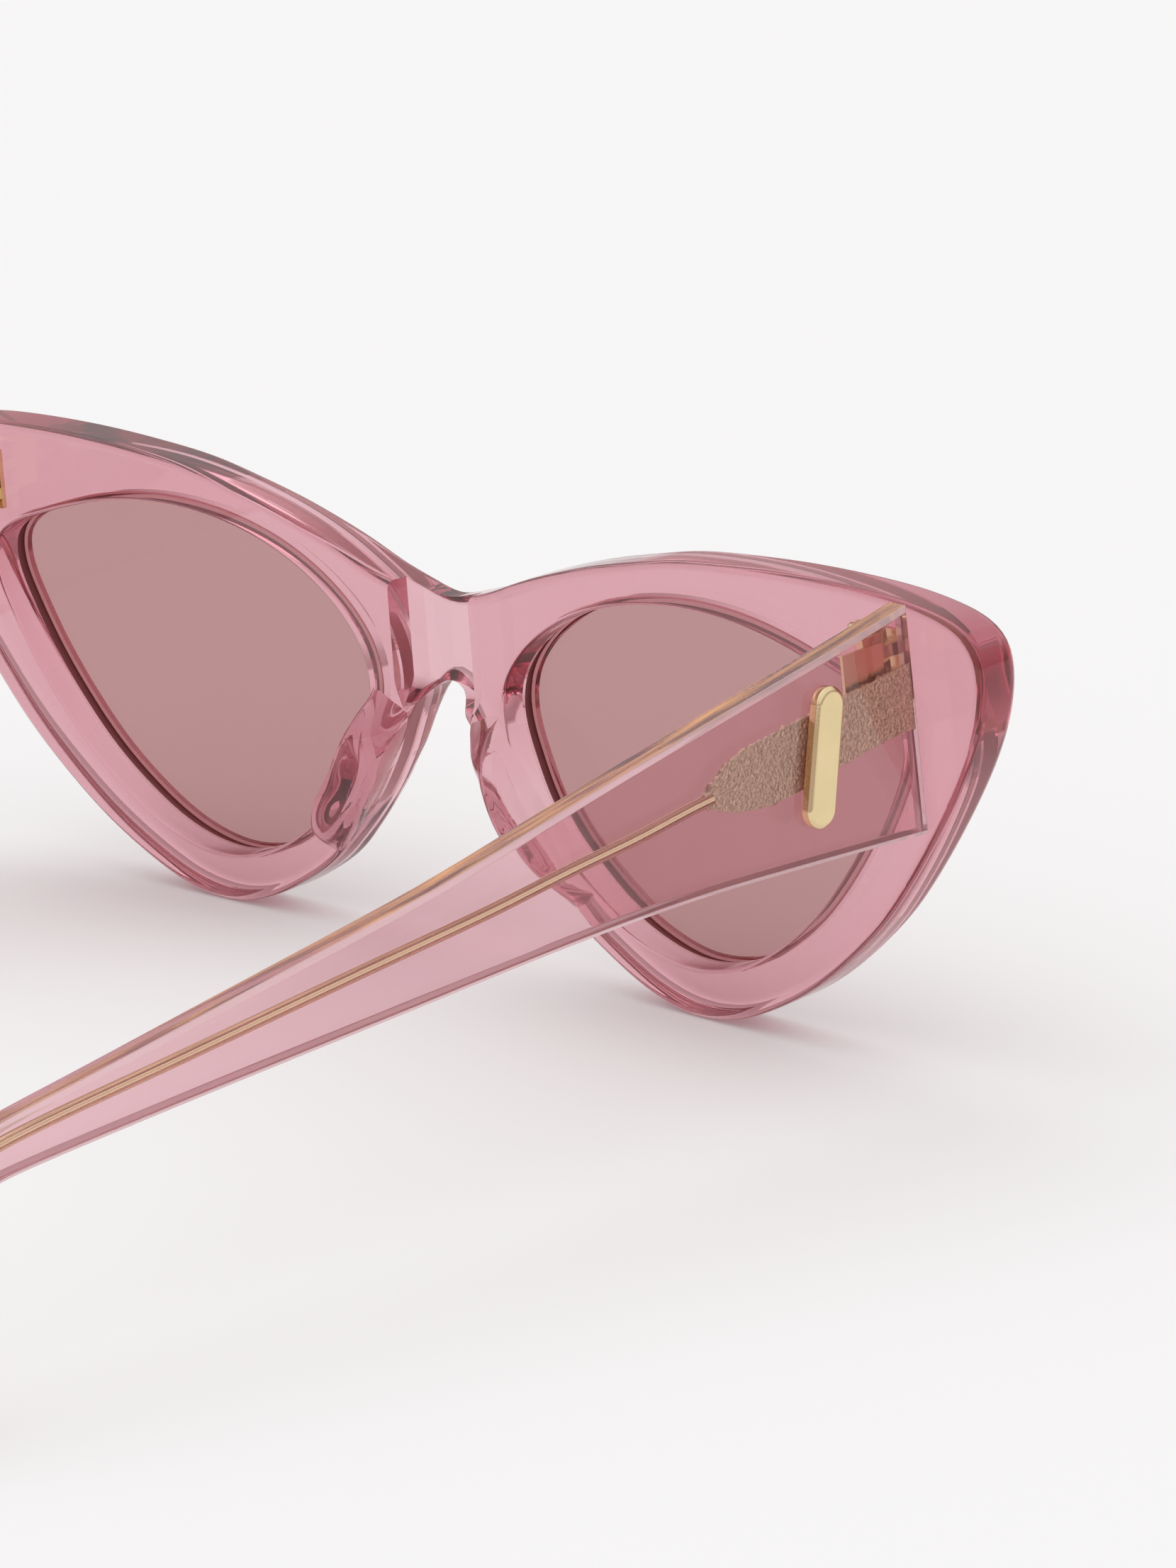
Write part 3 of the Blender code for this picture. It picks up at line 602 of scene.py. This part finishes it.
top_line, bottom_line = from_pin(TEMPLE_TOP), from_pin(TEMPLE_BOTTOM)
top_line[0, 0] = bottom_line[-1, 0] = butt_y
tip_line = flowing(from_pin(TEMPLE_TIP), TIP_POINTS)[1:-1]
silhouette = np.vstack([flowing(top_line, EDGE_POINTS), tip_line, flowing(bottom_line, EDGE_POINTS)])
temple_face = TEMPLE_IN + TEMPLE_THICK
temple_place = {}
for side, sign in (("right", -1.0), ("left", 1.0)):
    middle = Matrix.Translation(Vector((sign * pin.x, pin.y, pin.z)))
    lean = Matrix.Rotation(math.radians(-sign * BODY_LEAN), 4, "Y")
    mirror = Matrix.Diagonal((sign, 1.0, 1.0, 1.0))
    to_mm = Matrix.Scale(1.0 / MM, 4)
    temple_place[side] = upright @ Matrix.Scale(MM, 4) @ middle @ lean @ mirror @ to_mm


def filed_share(looks):
    """Satin on the chamfers, less on the sawn butt and least along the bottom edge."""
    on_edge = abs(looks.x) < 0.2
    if 0.2 < abs(looks.x) < 0.97:
        return CHAMFER_SATIN
    if on_edge and looks.y < -0.8:
        return BUTT_SATIN
    return BOTTOM_SATIN if on_edge and looks.z < -0.6 else 0.0


# The upward faces of a temple, which get the painted reflection of the gold core wire.
def painted_glint_faces(looks):
    return 1.0 if looks.z > 0.6 and abs(looks.x) < 0.4 else 0.0


for side, sign in (("right", -1.0), ("left", 1.0)):
    rows = []
    for inset, x in (
        (TEMPLE_EDGE, TEMPLE_IN), (0.0, TEMPLE_IN + TEMPLE_EDGE),
        (0.0, temple_face - TEMPLE_EDGE), (TEMPLE_EDGE, temple_face),
    ):
        rows.append([(x, y, z) for y, z in grown(silhouette, -inset)])
    temple = rolled("acetate_temple_" + side, rows)
    for point in temple.data.vertices:
        if point.co.y < butt_y + BUTT_DEEP:
            point.co.y += math.tan(square_to_face) * (point.co.x - TEMPLE_IN)
    eased(temple, EDGE_ROUND, 28.0)
    marked(temple, "ground", filed_share)
    marked(temple, "warm", painted_glint_faces)
    placed(temple, temple_place[side], "temple_arm_" + side, "temple_" + side)
    tidy_mesh(temple, 1e-6)
    polished(temple, 20.0)
    finish = clear_plastic("rose_acetate_temple_" + side, (0.2, 0.3 * sign, 0.1), **ROSE)
    temple.data.materials.append(finish)


# ---------------------------------------------------------------------------------------------
# A gold core wire stiffens each temple. Its front end is a flat stippled plate shaped like a
# lance head, and a round polished rod runs from its point down into the tip.

WIRE_R = 0.6
WIRE_DEEP = 1.25
PLATE_THICK = 0.7
PLATE_START = 0.35
GRAIN_SIZE, GRAIN_DEEP = 0.20, 0.20
PLATE_GOLD = (0.95, 0.75, 0.49)
ROD_GOLD = (0.98, 0.87, 0.54)
PLATE_TOP = [
    (2.3, 19.35), (12.9, 18.2), (20.3, 17.4), (23.8, 16.9), (25.9, 16.1), (27.3, 15.1), (28.6, 14.35),
]
PLATE_BOTTOM = [
    (2.3, 13.5), (8.0, 13.1), (15.8, 11.9), (21.1, 11.5), (23.7, 11.7), (26.0, 12.2), (27.6, 12.85),
    (28.6, 13.3),
]
ROD_LINE = [
    (27.6, 13.8), (28.9, 13.7), (36.1, 12.9), (44.7, 12.2), (53.1, 11.4), (61.4, 10.8), (77.5, 9.7),
    (93.2, 8.6), (107.0, 7.6), (112.6, 6.7), (117.1, 4.8), (121.4, 1.8), (125.6, -1.8), (129.4, -5.3),
]
LONG, ACROSS = 190, 44
ROD_STEPS, ROD_ROUND = 90, 20
wire_x = temple_face - WIRE_DEEP
upper = flowing(from_pin(PLATE_TOP), 60)
lower = flowing(from_pin(PLATE_BOTTOM), 60)
stipple = bpy.data.textures.new("stipple", "CLOUDS")
stipple.noise_scale = GRAIN_SIZE
stipple.noise_depth = 1
for side, sign in (("right", -1.0), ("left", 1.0)):
    bpy.ops.mesh.primitive_grid_add(x_subdivisions=LONG, y_subdivisions=ACROSS, size=2.0)
    plate = bpy.context.object
    plate.name = plate.data.name = "core_plate_" + side
    span = np.linspace(butt_y + PLATE_START, upper[-1, 0], LONG + 1)
    for point in plate.data.vertices:
        y = span[round((point.co.x + 1) / 2 * LONG)]
        share = round((point.co.y + 1) / 2 * ACROSS) / ACROSS
        low_z = np.interp(y, lower[:, 0], lower[:, 1])
        high_z = np.interp(y, upper[:, 0], upper[:, 1])
        point.co = (wire_x + PLATE_THICK / 2, y, low_z + (high_z - low_z) * share)
    plate.select_set(False)
    worked(plate, "DISPLACE", texture=stipple, texture_coords="LOCAL", strength=GRAIN_DEEP, direction="X")
    worked(plate, "SOLIDIFY", thickness=PLATE_THICK, offset=-1.0)
    tidy_mesh(plate, 1e-5)
    polished(plate, 50.0)
    placed(plate, temple_place[side], "temple_arm_" + side, "core_wire_" + side)
    tidy_mesh(plate, 1e-7)
    finish = gold("stippled_gold_" + side, (0.1, 0.2 * sign, 0.0), PLATE_GOLD, 0.26, stippled=True)
    plate.data.materials.append(finish)

    line = flowing(from_pin(ROD_LINE), ROD_STEPS)
    heading = np.gradient(line, axis=0)
    heading /= np.linalg.norm(heading, axis=1)[:, None]
    rows = []
    turns = [2 * math.pi * step / ROD_ROUND for step in range(ROD_ROUND)]
    # The last two rings draw in to a rounded end.
    radii = [WIRE_R] * (ROD_STEPS - 2) + [WIRE_R * 0.8, WIRE_R * 0.3]
    for (y, z), (hy, hz), radius in zip(line, heading, radii):
        ring = [(radius * math.cos(a), radius * math.sin(a)) for a in turns]
        rows.append([(wire_x + out, y - hz * up, z + hy * up) for out, up in ring])
    rod = rolled("core_rod_" + side, rows)
    polished(rod, 50.0)
    placed(rod, temple_place[side], "temple_arm_" + side, "core_wire_" + side)
    tidy_mesh(rod, 1e-7)
    finish = gold("rod_gold_" + side, (0.0, 0.2 * sign, 0.3), ROD_GOLD, 0.10, brushed=0.15)
    rod.data.materials.append(finish)


# ---------------------------------------------------------------------------------------------
# A plain raised bar of polished gold plate stands on the outside of each temple, on two pegs
# pressed into the acetate. Its rim is chamfered and its face is very slightly crowned.

BAR_LINE = [(16.2, 10.0), (13.9, 18.6)]
BAR_HALF = 1.7
BAR_THICK = 0.9
BAR_GAP = 0.02
BAR_LIFT = 0.3
BAR_ROUND = 0.05
PEG_R, PEG_LONG, PEG_PAST = 0.35, 1.0, 0.8
low_end, high_end = from_pin(BAR_LINE)
along = (high_end - low_end) / np.linalg.norm(high_end - low_end)
bar_turn = math.atan2(along[1], along[0])
stadium = []
for centre, first in ((high_end, bar_turn - math.pi / 2), (low_end, bar_turn + math.pi / 2)):
    for k in range(25):
        a = first + math.pi * k / 24
        stadium.append((centre[0] + BAR_HALF * math.cos(a), centre[1] + BAR_HALF * math.sin(a)))
stadium = np.array(stadium)
for side, sign in (("right", -1.0), ("left", 1.0)):
    back = temple_face + BAR_GAP
    proud = temple_face + BAR_LIFT + BAR_THICK
    rows = []
    for inset, x in (
        (0.12, back), (0.0, back + 0.12), (0.0, proud - 0.34), (0.28, proud - 0.08), (0.55, proud),
    ):
        rows.append([(x, y, z) for y, z in grown(stadium, -inset)])
    bar = rolled("gold_bar_" + side, rows)
    for y, z in (low_end - along * PEG_PAST, high_end + along * PEG_PAST):
        bpy.ops.mesh.primitive_cylinder_add(
            vertices=24, radius=PEG_R, depth=PEG_LONG, location=(temple_face, y, z),
            rotation=(0.0, math.pi / 2, 0.0),
        )
        peg = bpy.context.object
        bpy.ops.object.transform_apply(location=True, rotation=True, scale=True)
        peg.select_set(False)
        cut(bar, peg, "UNION")
    eased(bar, BAR_ROUND, 25.0)
    polished(bar, 25.0)
    placed(bar, temple_place[side], "temple_arm_" + side, "temple_bar_" + side)
    tidy_mesh(bar, 1e-7)
    finish = gold("bar_gold_" + side, (0.2, 0.1 * sign, 0.1), GOLD, 0.09, brushed=0.6)
    bar.data.materials.append(finish)


# ---------------------------------------------------------------------------------------------
# The setting: a plain white table, a wide soft light overhead and a soft even room, seen from
# behind and above the wearer's right shoulder.

bpy.ops.mesh.primitive_plane_add(size=30.0)
table = bpy.context.object
table.name = "table_top"
table.select_set(False)
made, wire = new_material("white_table")
white = {"Base Color": (0.905, 0.905, 0.905, 1.0), "Roughness": 0.9, "Specular IOR Level": 0.0}
sheet = coated(wire, white)
wire.node("ShaderNodeOutputMaterial", None, {"Surface": sheet})
table.data.materials.append(made)

# Just above the table the room is darker and rosier, and overhead it is white. The polished
# edges pick this up.
room = bpy.data.worlds.new("room")
bpy.context.scene.world = room
room.use_nodes = True
room.node_tree.nodes.clear()
wire = Wire(room.node_tree)
rise = wire.node("ShaderNodeSeparateXYZ", None, {"Vector": wire.node("ShaderNodeTexCoord")}, 2)
glow = wire.node(
    "ShaderNodeValToRGB",
    {"stops": [
        (0.0, (0.90, 0.90, 0.90)), (0.49, (0.90, 0.90, 0.90)), (0.52, (0.50, 0.40, 0.40)),
        (0.62, (0.62, 0.55, 0.55)), (0.78, (0.94, 0.94, 0.94)), (1.0, (1.0, 1.0, 1.0)),
    ]},
    {0: rise * 0.5 + 0.5},
)
light = wire.node("ShaderNodeBackground", None, {"Color": glow, "Strength": 0.965})
wire.node("ShaderNodeOutputWorld", None, {"Surface": light})

sun = bpy.data.objects.new("overhead_light", bpy.data.lights.new("overhead_light", "SUN"))
sun.data.energy = 0.55
sun.data.angle = math.radians(60.0)
sun.rotation_euler = Vector((0.45, 0.1, 1.0)).to_track_quat("Z", "Y").to_euler()
bpy.context.scene.collection.objects.link(sun)

FOCAL_PIXELS, PICTURE_TALL = 11527.0, 2212.0
AIM = upright.translation + Vector((-21.64, 2.18, 1.477)) * MM
ROUND, DOWN, ROLL, AWAY = math.radians(45.391), math.radians(14.682), math.radians(1.691), 0.74029
ahead = Vector((math.sin(ROUND) * math.cos(DOWN), -math.cos(ROUND) * math.cos(DOWN), -math.sin(DOWN)))
side_way = Vector((-math.cos(ROUND), -math.sin(ROUND), 0.0))
up_way = side_way.cross(ahead)
side_rolled = side_way * math.cos(ROLL) - up_way * math.sin(ROLL)
up_rolled = up_way * math.cos(ROLL) + side_way * math.sin(ROLL)
camera = bpy.data.objects.new("camera", bpy.data.cameras.new("camera"))
axes = Matrix((side_rolled, up_rolled, -ahead)).transposed().to_4x4()
camera.matrix_world = Matrix.Translation(AIM - ahead * AWAY) @ axes
camera.data.sensor_fit = "VERTICAL"
camera.data.sensor_height = 36.0
camera.data.sensor_width = 36.0
camera.data.lens = FOCAL_PIXELS / PICTURE_TALL * camera.data.sensor_height
camera.data.clip_start = 0.01
bpy.context.scene.collection.objects.link(camera)
bpy.context.scene.camera = camera
bpy.context.scene.view_settings.view_transform = "Standard"
# Light runs a long way inside clear plastic, from wall to wall, before it comes out.
cycles = bpy.context.scene.cycles
cycles.max_bounces = cycles.glossy_bounces = cycles.transmission_bounces = 40
